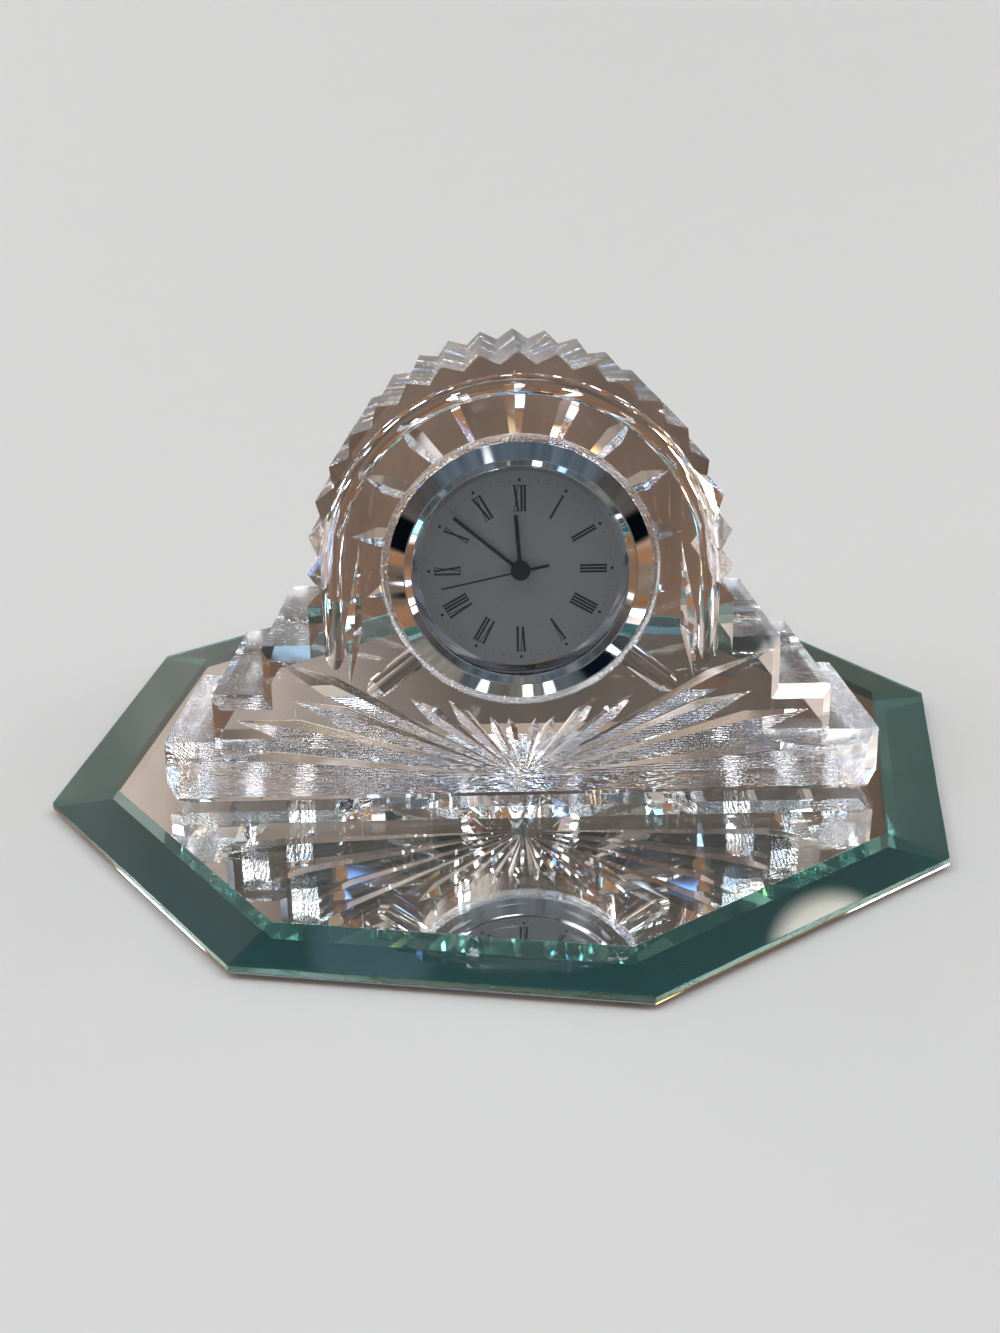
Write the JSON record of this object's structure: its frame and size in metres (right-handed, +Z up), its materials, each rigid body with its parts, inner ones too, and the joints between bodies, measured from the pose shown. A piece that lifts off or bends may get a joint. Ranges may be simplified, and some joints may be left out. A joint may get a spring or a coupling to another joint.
{
  "type": "crystal desk clock",
  "caption": "Stepped cut-crystal block clock, leaning back on a bevelled mirror plinth, with a round quartz insert that pulls out to the front.",
  "frame": {"origin": "middle of the plinth, on the surface that its felt stands on", "axes": "+Z up, -Y towards the viewer of the dial, +X to the viewer's right"},
  "size_m": [0.1876, 0.1876, 0.0937],
  "materials": {
    "crystal": "polished cut lead crystal",
    "mirror_glass": "polished float glass with a bevelled edge, green at the edge",
    "silvering": "mirror silver with backing paint",
    "felt": "thin dark green felt",
    "chrome": "bright polished chrome",
    "lens_glass": "clear mineral glass",
    "rubber": "black rubber, satin",
    "dial_silver": "fine satin silver with black printing",
    "hand_black": "black lacquer",
    "case_steel": "turned stainless steel",
    "brass": "fine-turned brass",
    "steel": "stamped steel",
    "black_plastic": "moulded black plastic",
    "white_plastic": "moulded natural plastic",
    "copper": "enamelled copper wire",
    "magnet": "sintered magnet",
    "board": "green circuit board"
  },
  "bodies": {
    "plinth": {"mirror_glass": "mirror_glass", "silver_coat": "silvering", "felt_backing": "felt"},
    "crystal": {"crystal_body": "crystal"},
    "insert": {"bezel": "chrome", "lens": "lens_glass", "lens_gasket": "rubber", "dial_ring": "chrome", "dial": "dial_silver", "case_cup": "case_steel", "seat_gasket": "rubber", "movement_ring": "white_plastic", "main_plate": "brass", "train_bridge": "steel", "stator": "steel", "coil_core": "steel", "coil": "copper", "circuit_board": "board", "quartz_can": "case_steel", "battery_holder": "white_plastic", "battery_contacts": "brass", "battery": "case_steel", "bridge_screws": "steel", "rear_cover": "black_plastic"},
    "hatch": {"battery_hatch": "black_plastic"},
    "hours": {"hour_hand": "hand_black", "hour_wheel": "brass"},
    "minutes": {"minute_hand": "hand_black", "cannon_pinion": "brass"},
    "motion_wheel": {"minute_wheel": "brass"},
    "seconds": {"second_hand": "hand_black", "fourth_wheel": "brass"},
    "third": {"third_wheel": "brass"},
    "centre": {"centre_wheel": "brass"},
    "fifth": {"fifth_wheel": "brass"},
    "rotor": {"rotor": "magnet"},
    "setting": {"setting_knob": "black_plastic"}
  },
  "joints": [
    {"name": "crystal_lift", "type": "slide", "parent": "plinth", "child": "crystal", "axis": [0, 0, 1], "range_m": [0, 0.06]},
    {"name": "insert_pull", "type": "slide", "parent": "crystal", "child": "insert", "axis": [0, -0.9962, 0.0872], "range_m": [0, 0.03]},
    {"name": "hatch_lift", "type": "slide", "parent": "insert", "child": "hatch", "axis": [0, 0.9962, -0.0872], "range_m": [0, 0.004]},
    {"name": "minute_turn", "type": "hinge", "parent": "insert", "child": "minutes", "pos_m": [0.0017, -0.021, 0.05146], "axis": [0, 0.9962, -0.0872], "continuous": true},
    {"name": "hour_turn", "type": "hinge", "parent": "insert", "child": "hours", "pos_m": [0.0017, -0.021, 0.05146], "axis": [0, 0.9962, -0.0872], "continuous": true},
    {"name": "motion_wheel_turn", "type": "hinge", "parent": "insert", "child": "motion_wheel", "pos_m": [0.0017, -0.02056, 0.045], "axis": [0, 0.9962, -0.0872], "continuous": true},
    {"name": "setting_turn", "type": "hinge", "parent": "insert", "child": "setting", "pos_m": [0.00724, -0.01486, 0.04129], "axis": [0, 0.9962, -0.0872], "continuous": true},
    {"name": "second_turn", "type": "hinge", "parent": "insert", "child": "seconds", "pos_m": [0.0017, -0.01602, 0.05102], "axis": [0, 0.9962, -0.0872], "continuous": true},
    {"name": "third_turn", "type": "hinge", "parent": "insert", "child": "third", "pos_m": [-0.00507, -0.0158, 0.05348], "axis": [0, 0.9962, -0.0872], "continuous": true},
    {"name": "centre_turn", "type": "hinge", "parent": "insert", "child": "centre", "pos_m": [0.0017, -0.01701, 0.05111], "axis": [0, 0.9962, -0.0872], "continuous": true},
    {"name": "fifth_turn", "type": "hinge", "parent": "insert", "child": "fifth", "pos_m": [0.00793, -0.01471, 0.05452], "axis": [0, 0.9962, -0.0872], "continuous": true},
    {"name": "rotor_turn", "type": "hinge", "parent": "insert", "child": "rotor", "pos_m": [0.01073, -0.01513, 0.04969], "axis": [0, 0.9962, -0.0872], "continuous": true}
  ],
  "couplings": [
    {"joint": "hour_turn", "follows": "minute_turn", "ratio": 0.083333},
    {"joint": "motion_wheel_turn", "follows": "minute_turn", "ratio": -0.33333},
    {"joint": "setting_turn", "follows": "minute_turn", "ratio": 1},
    {"joint": "fifth_turn", "follows": "second_turn", "ratio": -5},
    {"joint": "rotor_turn", "follows": "second_turn", "ratio": 30},
    {"joint": "third_turn", "follows": "second_turn", "ratio": -0.13333},
    {"joint": "centre_turn", "follows": "second_turn", "ratio": 0.016667}
  ]
}
